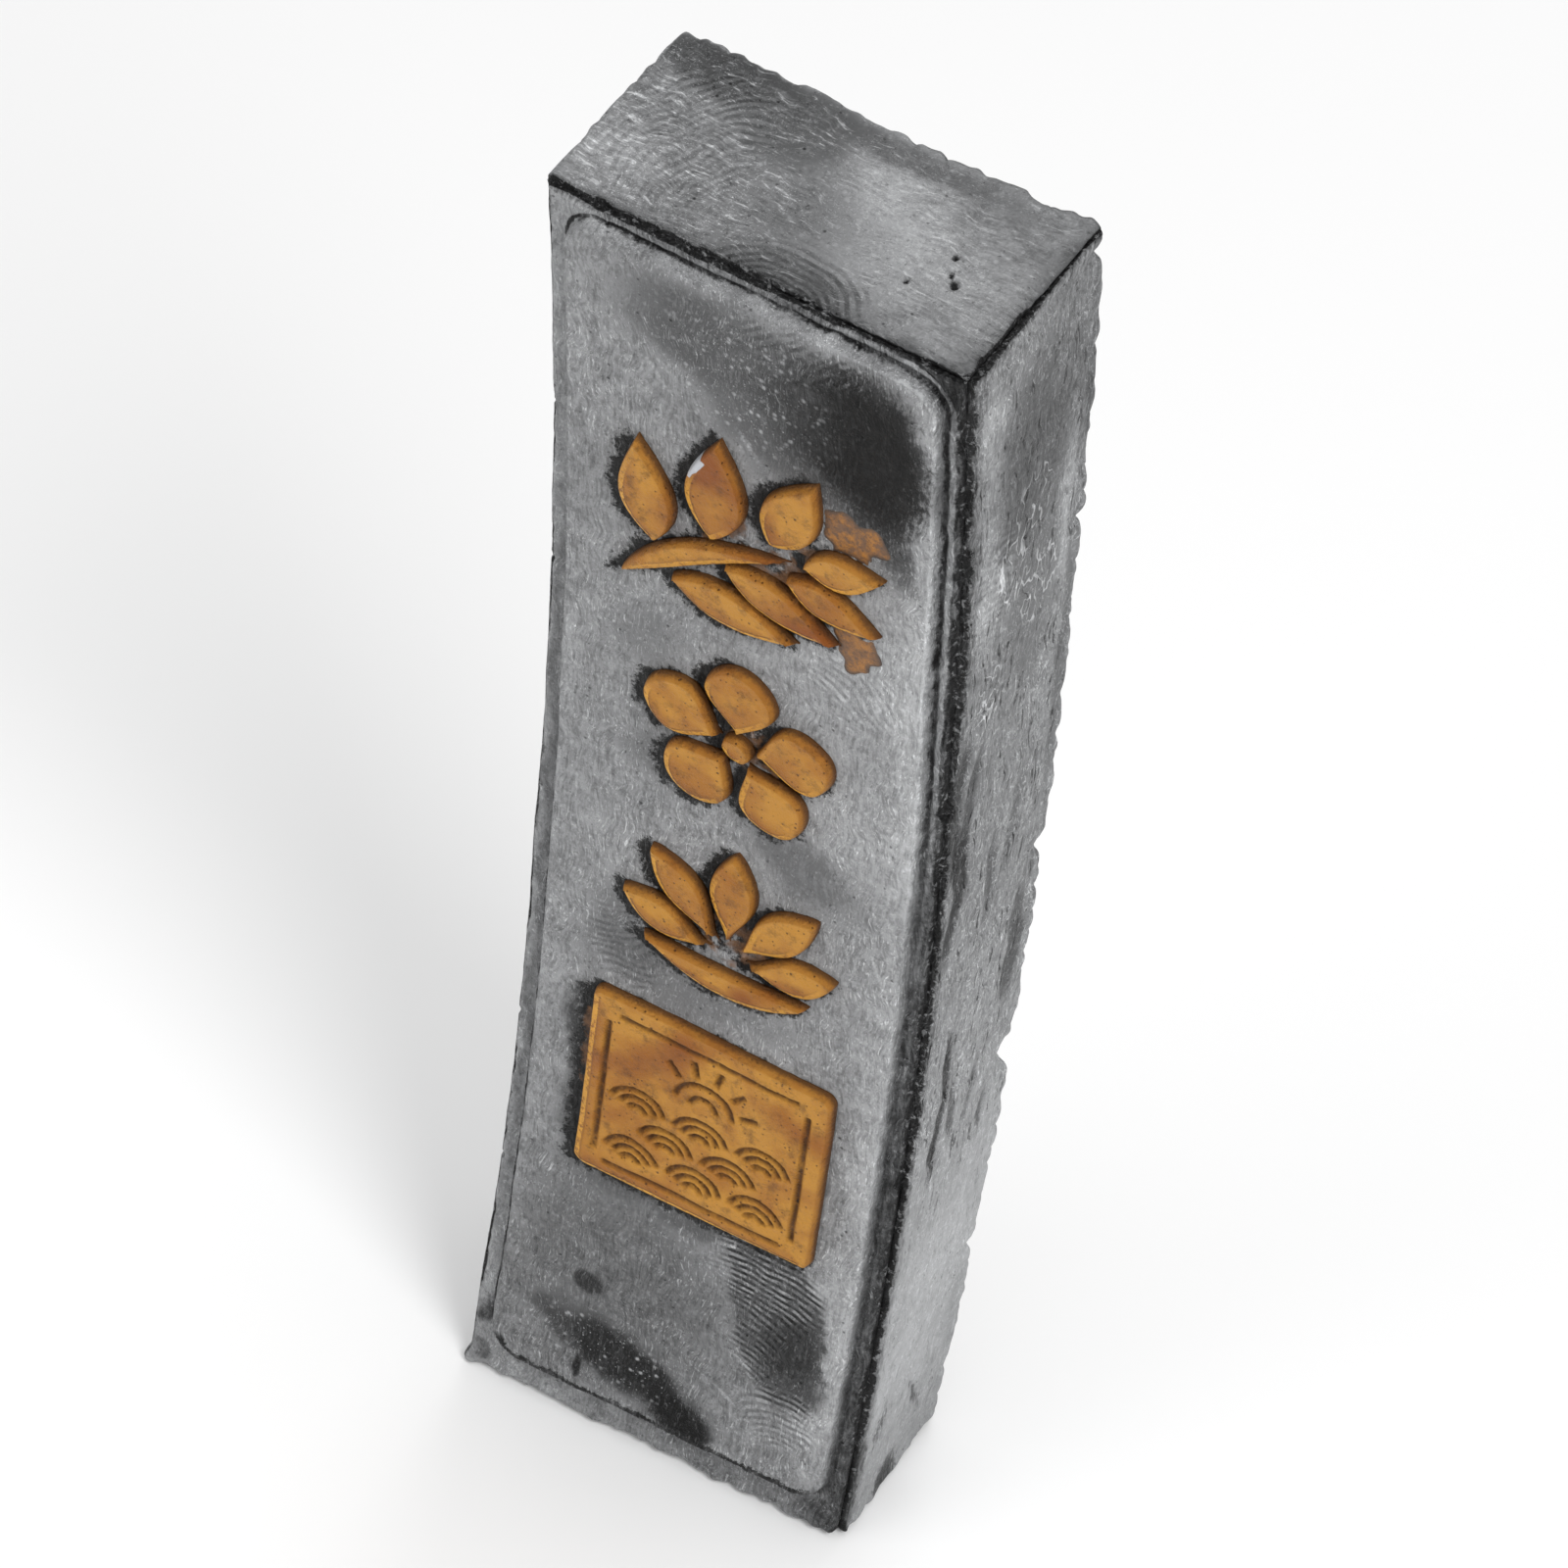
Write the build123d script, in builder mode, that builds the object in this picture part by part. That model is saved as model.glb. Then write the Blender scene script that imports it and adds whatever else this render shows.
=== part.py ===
from build123d import *
import os
from math import cos, degrees, pi, radians, sin

# A moulded ink stick, standing on its bottom end with its gilded face towards -Y.
# The stick curled towards that face and twisted a little as it dried, so lengths are
# measured up its bowed centre line, from the bottom end.

# The pressed block
LENGTH = 87.0
WIDTH = 23.0
THICKNESS = 11.2             # from rim to rim, without the raised panels
BOW = 2.45                   # how far the middle stands off the straight line between the ends
BOW_HEADING = -11.0          # degrees from -Y, the way the ends have curled
TWIST = 5.1                  # degrees, from one end to the other
EDGE_CHAMFER = 0.45
STATIONS = 9                 # cross-sections along the length

# The raised panels on the front and back
PANEL_HEIGHT = 0.75
PANEL_SIDE_MARGIN = 1.25
PANEL_BOTTOM = 2.2
PANEL_TOP = LENGTH - 0.9
PANEL_CORNER = 2.0
PANEL_RIM = 0.3

# The raised ornaments and their gold paint
RELIEF = 0.6
PAINT = 0.12
SMEAR = 0.06
ROOT = 1.0                   # how far an ornament's column starts below the panel

# Where each ornament is centred: across the face, and up the length
SPRIG_AT = (0.2, 69.8)
BLOSSOM_AT = (0.25, 55.0)
LOTUS_AT = (0.6, 42.0)
PLAQUE_AT = (0.4, 26.5)

# The blossom
PETALS = 5
PETAL_LENGTH = 4.3
PETAL_WIDTH = 3.8
PETAL_START = 1.15           # from the blossom's middle to the petal's inner tip
HEART_RADIUS = 0.75

# The lotus
LOTUS_BASE = -2.3            # height of the point that its petals fan out from
LOTUS_START = 1.1            # from that point to each petal's inner tip

# The plaque and its incised lines
PLAQUE_WIDTH = 13.9
PLAQUE_HEIGHT = 13.0
PLAQUE_CORNER = 0.6
BORDER_INSET = 1.1
GROOVE_WIDTH = 0.35
GROOVE_DEPTH = 0.3
WAVE_RADII = (0.55, 1.1, 1.65)
WAVE_PITCH = 3.7
WAVE_ROWS = (-4.7, -2.85, -1.0)      # heights of the wave centres
SUN_AT = (0.0, 1.6)
SUN_RADII = (0.8, 1.7)
RAY_START = 2.2
RAY_LENGTH = 1.1
RAY_SPACING = 36.0           # degrees between rays

# Paint that ran over beside the sprig: middle, half width, half height, and how wavy its edge is
SMEARS = {
    "upper_smear": ((5.6, 3.6), 1.8, 1.6, 0.30),
    "lower_smear": ((6.1, -4.1), 1.2, 1.5, 0.25),
}

BOW_RADIUS = LENGTH**2 / (8 * BOW)
SURFACE = THICKNESS / 2 + PANEL_HEIGHT

os.makedirs("parts", exist_ok=True)


def section_plane(station):
    """The plane square to the centre line at this distance from the bottom end."""
    turn = degrees(station / BOW_RADIUS)
    twist = TWIST * (0.5 - station / LENGTH)
    bend = Pos(Y=-BOW_RADIUS) * Rot(X=turn) * Pos(Y=BOW_RADIUS)
    return Plane(Rot(Z=BOW_HEADING) * bend * Rot(Z=twist - BOW_HEADING))


def face_plane(centre):
    """The plane on the front panel at a centre: X across, Y up the stick, Z out of it."""
    across, station = centre
    section = section_plane(station)
    origin = section.from_local_coords((across, -SURFACE, 0))
    return Plane(origin, x_dir=section.x_dir, z_dir=-section.y_dir)


def stations(low, high):
    """Evenly spaced stations from one length to another."""
    return [low + (high - low) * i / (STATIONS - 1) for i in range(STATIONS)]


def stroke(length, width, curl=0.0, lean=1.0, start=1.0, end=1.0, grow=0.0, steps=10):
    """The outline of a brush stroke from the origin towards +X, turning left by curl degrees.

    Its widest part is nearer the start when lean is below 1. An end is pointed at 1 and
    round at 0.5. Grow is how far the outline stands outside the plain stroke.
    """
    turn = radians(curl)
    left = []
    right = []
    for i in range(steps + 1):
        t = 0.5 - 0.5 * cos(pi * i / steps)
        travel = t * (length + 2 * grow) - grow
        heading = turn * travel / length
        x = length / turn * sin(heading) if curl else travel
        y = length / turn * (1 - cos(heading)) if curl else 0.0
        swell = sin(pi * t**lean) if 0 < i < steps else 0.0
        half = (width / 2 + grow) * swell ** (start + (end - start) * t)
        left.append((x - half * sin(heading), y + half * cos(heading)))
        right.append((x + half * sin(heading), y - half * cos(heading)))
    with BuildSketch() as outline:
        with BuildLine():
            Spline(*left)
            Spline(*right)
        make_face()
    return outline.sketch


def placed(shape, x, y, heading=0.0):
    """An outline moved to a point on its ornament and turned to a heading in degrees."""
    return Pos(x, y) * Rot(Z=heading) * shape


def sprig(grow):
    """A leafy twig: a curved stem, three leaves on each side and one at its tip."""
    stem = stroke(11.0, 1.2, curl=-35, lean=0.8, grow=grow)
    shapes = {"sprig_stem": placed(stem, -6.8, -5.8, 50)}
    leaves = {
        "sprig_leaf_low_left": (-5.0, -2.6, 100, 6.4, 2.9),
        "sprig_leaf_mid_left": (-1.8, -0.5, 88, 6.6, 3.1),
        "sprig_leaf_high_left": (1.4, 1.0, 66, 5.7, 2.8),
        "sprig_leaf_tip": (3.3, 0.5, 18, 4.4, 2.1),
        "sprig_leaf_high_right": (2.4, -0.9, -14, 5.1, 2.1),
        "sprig_leaf_mid_right": (-1.0, -2.1, -18, 6.5, 2.3),
        "sprig_leaf_low_right": (-3.9, -4.6, -6, 6.9, 2.4),
    }
    for name, (x, y, heading, length, width) in leaves.items():
        shapes[name] = placed(stroke(length, width, lean=0.8, grow=grow), x, y, heading)
    return shapes


def blossom(grow):
    """A five-petalled flower round a small heart."""
    shapes = {"blossom_heart": Circle(HEART_RADIUS + grow)}
    for i in range(PETALS):
        petal = Pos(PETAL_START) * stroke(PETAL_LENGTH, PETAL_WIDTH, lean=1.25, end=0.5, grow=grow)
        shapes[f"blossom_petal_{i + 1}"] = placed(petal, 0, 0, 90 + 360 / PETALS * i)
    return shapes


def lotus(grow):
    """An open flower seen from the side: five petals fanned over a floating pad."""
    petals = (
        (90, 6.3, 2.4, 0),
        (51, 6.0, 2.3, -6),
        (129, 6.0, 2.3, 6),
        (8, 5.2, 2.1, 18),
        (172, 5.2, 2.1, -18),
    )
    shapes = {}
    for i, (heading, length, width, curl) in enumerate(petals):
        petal = stroke(length, width, curl=curl, lean=1.2, start=1.3, end=0.8, grow=grow)
        shapes[f"lotus_petal_{i + 1}"] = placed(Pos(LOTUS_START) * petal, 0, LOTUS_BASE, heading)
    pad = stroke(9.6, 1.6, curl=44, start=0.7, end=0.7, grow=grow)
    shapes["lotus_pad"] = placed(pad, -4.7, -3.3, -22)
    return shapes


def plaque(grow):
    """A small tablet with softened corners."""
    tablet = RectangleRounded(
        PLAQUE_WIDTH + 2 * grow, PLAQUE_HEIGHT + 2 * grow, PLAQUE_CORNER + grow
    )
    return {"plaque": tablet}


def plaque_grooves():
    """The plaque's incised lines: a border of four strokes, rows of waves and a rising sun."""
    half_width = PLAQUE_WIDTH / 2 - BORDER_INSET
    half_height = PLAQUE_HEIGHT / 2 - BORDER_INSET
    with BuildSketch() as grooves:
        with Locations((0, half_height), (0, -half_height)):
            Rectangle(2 * half_width - 1.2, GROOVE_WIDTH)
        with Locations((half_width, 0), (-half_width, 0)):
            Rectangle(GROOVE_WIDTH, 2 * half_height - 1.2)
        for row, height in enumerate(WAVE_ROWS):
            for column in (-0.5, 0.5) if row % 2 else (-1, 0, 1):
                for radius in WAVE_RADII:
                    with BuildLine() as wave:
                        CenterArc((column * WAVE_PITCH, height), radius, 20, 140)
                    trace(wave.line, line_width=GROOVE_WIDTH)
        for radius in SUN_RADII:
            with BuildLine() as sun:
                CenterArc(SUN_AT, radius, 5, 170)
            trace(sun.line, line_width=GROOVE_WIDTH)
        with Locations(SUN_AT):
            with PolarLocations(RAY_START + RAY_LENGTH / 2, 5, 90 - 2 * RAY_SPACING, 4 * RAY_SPACING):
                Rectangle(RAY_LENGTH, GROOVE_WIDTH)
    return grooves.sketch


def smear_outline(half_width, half_height, waviness, points=24):
    """The wavy edge of a run of paint, about its middle."""
    edge = []
    for i in range(points):
        turn = 2 * pi * i / points
        reach = 1 + waviness * (0.6 * sin(3 * turn + 0.5) + 0.4 * sin(7 * turn + 2.0))
        edge.append((half_width * reach * cos(turn), half_height * reach * sin(turn)))
    with BuildSketch() as outline:
        with BuildLine():
            Spline(*edge, periodic=True)
        make_face()
    return outline.sketch


def ornaments(grow):
    """Where each ornament is, and the outlines of its strokes, grown by the paint on them."""
    return (
        (SPRIG_AT, sprig(grow)),
        (BLOSSOM_AT, blossom(grow)),
        (LOTUS_AT, lotus(grow)),
        (PLAQUE_AT, plaque(grow)),
    )


RAISED = ornaments(grow=0.0)
PAINTED = ornaments(grow=PAINT)
GROOVES = plaque_grooves()

# Both panels, as one slab through the block
with BuildPart() as panel_slab:
    for station in stations(PANEL_BOTTOM, PANEL_TOP):
        with BuildSketch(section_plane(station)):
            Rectangle(WIDTH - 2 * PANEL_SIDE_MARGIN, THICKNESS + 2 * PANEL_HEIGHT)
    loft()
    fillet(panel_slab.edges().group_by(SortBy.LENGTH)[0], PANEL_CORNER)
    panel_faces = panel_slab.faces().group_by(SortBy.AREA)[-1]
    chamfer(panel_faces.edges(), PANEL_RIM)

# The block with its panels and raised ornaments, one piece of dried ink
with BuildPart() as ink_block:
    for station in stations(0, LENGTH):
        with BuildSketch(section_plane(station)):
            Rectangle(WIDTH, THICKNESS)
            chamfer(vertices(), EDGE_CHAMFER)
    loft()
    add(panel_slab.part)
    for centre, shapes in RAISED:
        for shape in shapes.values():
            with BuildSketch(face_plane(centre).offset(-ROOT)):
                add(shape)
            extrude(amount=ROOT + RELIEF)
    with BuildSketch(face_plane(PLAQUE_AT).offset(RELIEF)):
        add(GROOVES)
    extrude(amount=-GROOVE_DEPTH, mode=Mode.SUBTRACT)

ink_block.part.label = "ink_block"
export_step(ink_block.part, "parts/ink_block.step")

# The gold paint over each raised stroke, down to the panel round it
paint_parts = {}
for centre, shapes in PAINTED:
    for name, shape in shapes.items():
        with BuildPart() as paint:
            with BuildSketch(face_plane(centre).offset(-ROOT)):
                add(shape)
            extrude(amount=ROOT + RELIEF + PAINT)
            if name == "plaque":
                with BuildSketch(face_plane(centre).offset(RELIEF + PAINT)):
                    add(GROOVES)
                extrude(amount=-PAINT - GROOVE_DEPTH, mode=Mode.SUBTRACT)
            add(ink_block.part, mode=Mode.SUBTRACT)
        paint_parts[name] = paint.part

# Thinner paint that ran over onto the panel, between and beside the sprig's leaves
for name, ((across, up), half_width, half_height, waviness) in SMEARS.items():
    outline = smear_outline(half_width, half_height, waviness)
    middle = (SPRIG_AT[0] + across, SPRIG_AT[1] + up)
    with BuildPart() as smear:
        with BuildSketch(face_plane(middle).offset(-ROOT)):
            add(outline)
        extrude(amount=ROOT + SMEAR)
        add(ink_block.part, mode=Mode.SUBTRACT)
        add([part for leaf, part in paint_parts.items() if "sprig" in leaf], mode=Mode.SUBTRACT)
    paint_parts[name] = smear.part

for name, part in paint_parts.items():
    part.label = name
    export_step(part, f"parts/{name}.step")
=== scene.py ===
import math
from functools import cached_property, partial, reduce
from itertools import product
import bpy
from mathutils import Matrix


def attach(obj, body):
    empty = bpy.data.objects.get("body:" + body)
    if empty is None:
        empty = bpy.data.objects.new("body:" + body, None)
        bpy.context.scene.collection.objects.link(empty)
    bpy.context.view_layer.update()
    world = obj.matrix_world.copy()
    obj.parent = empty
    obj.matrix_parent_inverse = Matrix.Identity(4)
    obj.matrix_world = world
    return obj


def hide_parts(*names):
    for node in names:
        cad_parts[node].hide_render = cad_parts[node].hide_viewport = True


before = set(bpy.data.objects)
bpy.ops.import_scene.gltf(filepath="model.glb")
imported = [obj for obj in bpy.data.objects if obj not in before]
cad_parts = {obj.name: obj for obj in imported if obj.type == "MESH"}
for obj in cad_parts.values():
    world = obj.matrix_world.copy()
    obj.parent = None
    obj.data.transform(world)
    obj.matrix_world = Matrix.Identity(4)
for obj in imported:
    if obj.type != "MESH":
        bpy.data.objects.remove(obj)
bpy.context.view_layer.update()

from types import SimpleNamespace

import bpy
import numpy as np
from mathutils import Matrix, Vector
from mathutils.geometry import delaunay_2d_cdt

# The ink stick's looks. Shapes are worked out in millimetres on the straight stick: x across
# its face, y from its gilded face (-y) to its back, s up its length. The last step curls and
# twists them as the CAD does, and turns them into metres.

MM = 0.001
FAR = 9.0  # stands for a place that is nowhere near

# The block, as in the CAD
LENGTH = 87.0
WIDTH = 23.0
THICKNESS = 11.2
BOW = 2.45
BOW_HEADING = math.radians(-11.0)
TWIST = math.radians(5.1)
BOW_RADIUS = LENGTH**2 / (8 * BOW)
PANEL_HEIGHT = 0.75
PANEL_HALF_WIDTH = WIDTH / 2 - 1.25
PANEL_BOTTOM = 2.2
PANEL_TOP = LENGTH - 0.9
PANEL_CORNER = 2.0
PANEL_WALL = 0.24  # how far the panel's side slopes
SURFACE = THICKNESS / 2 + PANEL_HEIGHT

# The block's mesh
SIDES = {  # the axis that each side faces along, and which way
    "right": (0, 1), "left": (0, -1), "front": (1, -1), "back": (1, 1), "top": (2, 1), "bottom": (2, -1),
}
EDGE_RADIUS = 0.45
FINE = 0.1
COARSE = 0.17
FINE_X = 2.0  # the mesh is fine from here to the right, over the finger print
FINE_TOP = 20.0  # and up to here
EDGE_BAND = 2.2  # how far in from the block's edges it is fine
THIN_EDGE_BAND = 1.0  # and the same through its thickness
SEAM_DEPTH = 0.75
SEAM_WIDTH = 0.7
SEAM_STEP = 0.16  # how far a seam jumps in and out
SEAMS = (  # sides that meet, the axis along their edge, its groove at both ends
    ("right", "front", 2, 0.85, 1.05),
    ("top", "front", 0, 0.42, 0.72),
    ("top", "right", 1, 0.72, 0.42),
    ("left", "front", 2, 0.2, 0.2),
)
FLASHES = (  # sides that meet, and how high the flash on their edge stands
    ("right", "back", 0.32), ("top", "back", 0.55), ("left", "back", 0.4), ("top", "left", 0.3),
    ("bottom", "front", 0.5), ("bottom", "right", 0.45), ("bottom", "back", 0.5), ("bottom", "left", 0.5),
)
FLASH_WIDTH = 0.42
CORNER_FLASH = 0.35  # the point drawn out at the front's lower left corner
NICKS = (  # up the back right edge: place, reach and depth
    (28.6, 0.9, 0.75), (13.5, 0.5, 0.35), (44.0, 0.6, 0.45),
    (52.0, 0.6, 0.25), (67.5, 0.5, 0.25), (85.6, 0.5, 0.25),
)
NICK_WIDTH = 1.1
PAD_CLEARANCE = 0.16  # how far the ink's strokes stay below their height in the CAD
LEE_DEPTH = 0.06
GOUGE_DEPTH = 0.14
PIT_DEPTH = 0.25
PORE_DEPTH = 0.1
RIDGE_HEIGHT = 0.02

# The ornaments
RELIEF = 0.6
PAINT = 0.12
PAINT_WALL = 0.16  # how far a painted edge slopes
PAINT_POINT = 0.13  # spacing of the points that its mesh is made from
ROW_STEP = 0.866  # from one row of those points to the next, in spacings
RINGS = (0.07, 0.15, 0.25, 0.38)  # how far inside its outline its first points are
BEVEL = 0.34  # share of a stroke's height that its lower side gains further in
DOME = 0.06  # and the share that every stroke gains towards its middle
GROOVE_DEPTH = 0.27
SMEAR_HEIGHT = 0.05
SMEAR_UNDERSIDE = -0.06
LOWER_SIDE = np.array([-0.5, -0.87])  # the way that the lower edges face, which get a wider bevel and painted glints
SLOPE_STEP = 0.1  # how far a place is moved to find out which way its edge faces
LEE_SHIFT = np.array([0.55, 0.45])  # from a place in a stroke's lee to the stroke
STROKE_MARGIN = 1.6  # how far round a stroke the distance to it is worked out
CHIP_AT = (-2.5, 73.9)  # where the paint has chipped off to the pale ground
CHIP_TILT = 66.0
CHIP_SIZE = (0.85, 0.26)
SMEARS = ("upper_smear", "lower_smear")
SPILLS = (  # where paint ran between the strokes: middle and half sizes
    ((1.6, 69.2), (5.6, 3.2)), ((1, 55), (2.2, 2.2)),
    ((0.8, 40.6), (2.6, 2.2)), ((-6.9, 28), (0.8, 4)),
)
SPILL_FADE = 3.0

# Colours, as linear red, green and blue
GOLD_PALE = (0.55, 0.26, 0.037, 1)
GOLD_DEEP = (0.42, 0.17, 0.02, 1)
GOLD_EDGE = (0.27, 0.078, 0.008, 1)
GOLD_PAINTED_GLINT = (1.0, 0.52, 0.06, 1)
GOLD_DARK = (0.075, 0.03, 0.009, 1)
BROWN_LIGHT = (0.24, 0.12, 0.055, 1)
BROWN_DARK = (0.1, 0.055, 0.032, 1)
SOOT = (0.035, 0.033, 0.033, 1)
CHIP = (0.58, 0.59, 0.62, 1)
PAPER = (0.92, 0.92, 0.92, 1)

# The photo's camera: azimuth and elevation in degrees, distance and aim in millimetres
CAMERA_VIEW = (22.39, 41.73)
CAMERA_ROLL = 11.29
CAMERA_DISTANCE = 361.9
CAMERA_AIM = (-1.446, -1.592, 44.693)
LENS = 166.04  # for Blender's usual sensor, 36 mm wide

# Light: lamps are name, size, power, azimuth, elevation and distance
LAMP_AIM = Vector((0, 0, 40))
WORLD = 0.5
FLOOR = 1500.0
FLOOR_DROP = 0.45  # the flash under the stick reaches down to here
LAMPS = (
    ("key", 180, 1.0, 52, 46, 430),
    ("fill", 320, 0.45, -35, 20, 430),
    ("top", 220, 0.25, 10, 84, 400),
    ("back", 260, 0.35, 190, 35, 420),
)

# Greys run from 0, black, to 1, white, as they look in an ordinary picture.
CLEAN_GREY = 0.515
SMUDGE_GREY = 0.3  # dirt where no smudge sets its grey
SMUDGE_SOFT = 0.55
# Each smudge is its middle, its half sizes, its tilt in degrees, its grey and its strength.
FRONT_SMUDGES_AND_SHADOWS = (
    ((-1, 82.4), (6, 3), 0, 0.34, 0.85),
    ((1.8, 77.6), (5, 2.6), -38, 0.34, 0.7),
    ((8.4, 73), (1.4, 2), 0, 0.28, 0.65),
    ((5.2, 80.4), (4, 4.4), 0, 0.18, 0.9),
    ((6.8, 79.6), (2.6, 5.4), 8, 0.05, 1),
    # painted shadow and grime down the plaque's left side
    ((-7.3, 26.4), (0.9, 6.2), 0, 0.2, 0.85),
    ((-2, 35.9), (5.8, 2.2), 0, 0.42, 0.55),
    ((-5.2, 37.6), (1.6, 2.8), 20, 0.36, 0.6),
    # painted shadow under the plaque
    ((-1.5, 19), (5.2, 0.9), 0, 0.3, 0.65),
    ((-3.5, 13.5), (5.2, 6), 0, 0.43, 0.6),
    ((-1.9, 5.9), (5, 1.7), -17, 0.12, 1),
    ((1.3, 4.2), (1.9, 1.2), -15, 0.04, 1),
    ((-6.2, 6.6), (1.4, 1), -20, 0.26, 0.7),
    ((-10.9, 4.2), (0.7, 1.2), 0, 0.2, 0.75),
    ((-10.9, 1), (0.8, 0.8), 0, 0.24, 0.6),
    ((3.8, 48.2), (3.4, 2.6), -35, 0.38, 0.65),
    ((-5, 59.8), (2.2, 2.4), 20, 0.38, 0.4),
    ((-4.6, 51.2), (1.6, 1.6), 0, 0.4, 0.5),
    ((6.8, 12.6), (1.8, 2.8), 6, 0.16, 0.9),
    ((-10.6, 40), (0.5, 30), 0, 0.34, 0.5),
)
SIDE_SMUDGES = (
    ((0.2, 76), (2.6, 6.5), 0, 0.34, 0.8),
    ((1, 66), (2.2, 7), 0, 0.43, 0.5),
    ((-4.6, 55.5), (0.6, 5), 0, 0.22, 0.85),
    ((-3.4, 55), (0.45, 3.6), -4, 0.28, 0.75),
    ((-3.8, 50.2), (0.8, 3.2), 2, 0.14, 0.95),
    ((-4.2, 46.5), (0.5, 2.6), -3, 0.2, 0.85),
    ((-0.4, 46.8), (0.55, 3), 4, 0.3, 0.7),
    ((1.4, 49.5), (0.5, 3.4), -6, 0.34, 0.55),
    ((-2.3, 34), (0.4, 3.2), 0, 0.18, 0.9),
    ((-2.7, 29), (0.45, 3), -3, 0.2, 0.9),
    ((-1.2, 30), (0.4, 2.6), 10, 0.3, 0.7),
    ((0.9, 29.5), (0.4, 2.4), -12, 0.34, 0.6),
    ((2.8, 26.5), (0.35, 2), -12, 0.34, 0.6),
    ((3.8, 38), (0.9, 4.4), 0, 0.26, 0.8),
    ((-0.9, 0.8), (1.3, 1.6), 0, 0.18, 0.85),
    ((4.9, 58), (0.5, 9), 0, 0.34, 0.5),
    ((-5.4, 4), (0.8, 4.2), 0, 0.18, 0.8),
    ((-3.4, 6.2), (0.7, 1.2), 0, 0.34, 0.5),
    ((1.4, 5.4), (0.25, 2.4), 25, 0.3, 0.6),
)
SPOTS = (  # crisper ones on the front: middle, half sizes and grey
    ((-4.9, 10.6), (0.85, 0.85), 0.2),
    ((-4.9, 4.2), (0.25, 0.9), 0.12),
    ((-2.2, 71.4), (0.35, 0.3), 0.2),
)
TOP_SMUDGES = (
    ((-8, 4.6), (4.6, 1.7), 0, 0.27, 0.9),
    ((-3.6, 3.2), (2.8, 2.2), 0, 0.34, 0.8),
    ((0.6, 4.6), (7, 0.8), 0, 0.34, 0.7),
    ((0, -1), (4.5, 2.2), 0, 0.52, 0.4),
    ((1.3, -4.6), (3.6, 1.6), 0, 0.3, 0.8),
)
# Lighter and darker areas that only shift the grey: middle, half sizes, tilt and shift.
# On the front, the long strips at x 9.4 by the panel's right rim and the wide area on its right half are
# painted highlight and sheen.
FRONT_SHIFTS_AND_SHEEN = (
    ((6.5, 60), (5, 13), 0, 0.07),
    ((-8.4, 80), (2.4, 6), 0, 0.01),
    ((9.4, 70), (0.9, 18), 0, 0.05),
    ((9.4, 24), (0.9, 30), 0, 0.07),
    ((3.5, 44), (6, 9), 0, 0.03),
    ((-3, 9), (8, 8), 0, -0.1),
)
SIDE_SHIFTS = (
    ((-3.6, 80), (1.2, 4.5), 0, 0.14),
    ((-3.4, 70.5), (1, 4.5), 0, 0.1),
    ((4, 71), (0.6, 5.5), 0, 0.12),
    ((0.5, 12), (4.5, 9), 0, 0.05),
)
TOP_SHIFTS = (
    ((3.2, 1.2), (2.6, 4.2), 25, 0.11),
    ((8.5, -1), (2.2, 3.4), 0, 0.05),
    ((-9, -3), (2.6, 2.4), 0, 0.08),
)
SIDE_GREY_AND_LIGHT = (  # the right side's grey, lighter towards the bottom as a painted highlight: place up the stick, and grey
    (0, 0.6), (10, 0.67), (22, 0.68), (32, 0.6), (45, 0.57),
    (60, 0.53), (70, 0.55), (78, 0.41), (87, 0.52),
)
# Finger prints: face, what the ridges curve round, middle, half sizes, tilt, and strength.
PRINTS = (
    ("front", (2.8, 3), (5.2, 17.2), (3.2, 3.4), 0, 0.85),
    ("front", (2.8, 3), (4.9, 13.2), (1.6, 4), 0, 0.55),
    ("front", (7.3, 4.6), (6.9, 7.4), (2.2, 1.9), 0, 0.6),
    ("front", (1, 55), (6.8, 62.5), (2.6, 1.8), 0, 0.45),
    ("front", (-2, 90), (3, 84), (4, 1.6), 0, 0.25),
    ("front", (-9, 45), (-5.5, 36.5), (2, 3), 0, 0.22),
    ("top", (-2, -3), (-7.6, 0), (3.8, 4.6), 0, 0.38),
    ("top", (1.3, -7), (1.3, -4.4), (3.6, 1.9), 0, 0.36),
    ("right", (-8, 60), (-2.6, 70), (1.8, 4), 0, 0.3),
    ("left", (2, 58), (0, 46), (3.6, 7), 0, 0.35),
    ("back", (-3, 36), (2, 46), (5, 7), 10, 0.5),
    ("back", (-3, 22), (-4, 14), (3.4, 5), -15, 0.4),
    ("bottom", (0, 4), (2, 0), (6, 3.6), 0, 0.4),
)
BEND = 1.6  # how far hairs and streaks wander from straight
RIDGE = 0.47  # from one ridge of a finger print to the next
WRINKLES = (  # worm-like wrinkles on the right side: middle and half sizes
    ((-1.1, 70.3), (1.3, 2.8)), ((0.7, 73.2), (1.4, 2.2)),
    ((1.6, 66.5), (1.6, 2.4)), ((-2.6, 62), (1.2, 2)),
)
PITS = (  # on the top end: place, and radius
    ((6.75, 0.6), 0.16), ((7.2, -0.4), 0.13), ((7.66, -0.85), 0.2), ((5.66, -1.8), 0.12),
)
SPECKLED_HIGHLIGHTS = (  # painted highlights, light glossy specks in dark dirt: middle, half sizes, tilt, softness, strength
    ((0.4, 80.6), (4.4, 3.6), -20, 0.5, 0.5),
    ((-2.6, 6.2), (3.8, 1.7), -17, 0.4, 1),
)
# Scratches: left, right, bottom and top of their area, how many, and their heading.
SCRATCH_AREAS = (
    ((-6, 8, 71, 80), 34, -62),
    ((-6, 2, 33.5, 38), 16, -75),
    ((-9, 9, 44, 66), 16, -70),
    ((-8, 8, 5, 20), 10, -40),
)
SCRATCH_LIGHTENS = 3.0  # how much greyer a scratch is, per millimetre of its depth


# ---- noise and shaping

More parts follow.
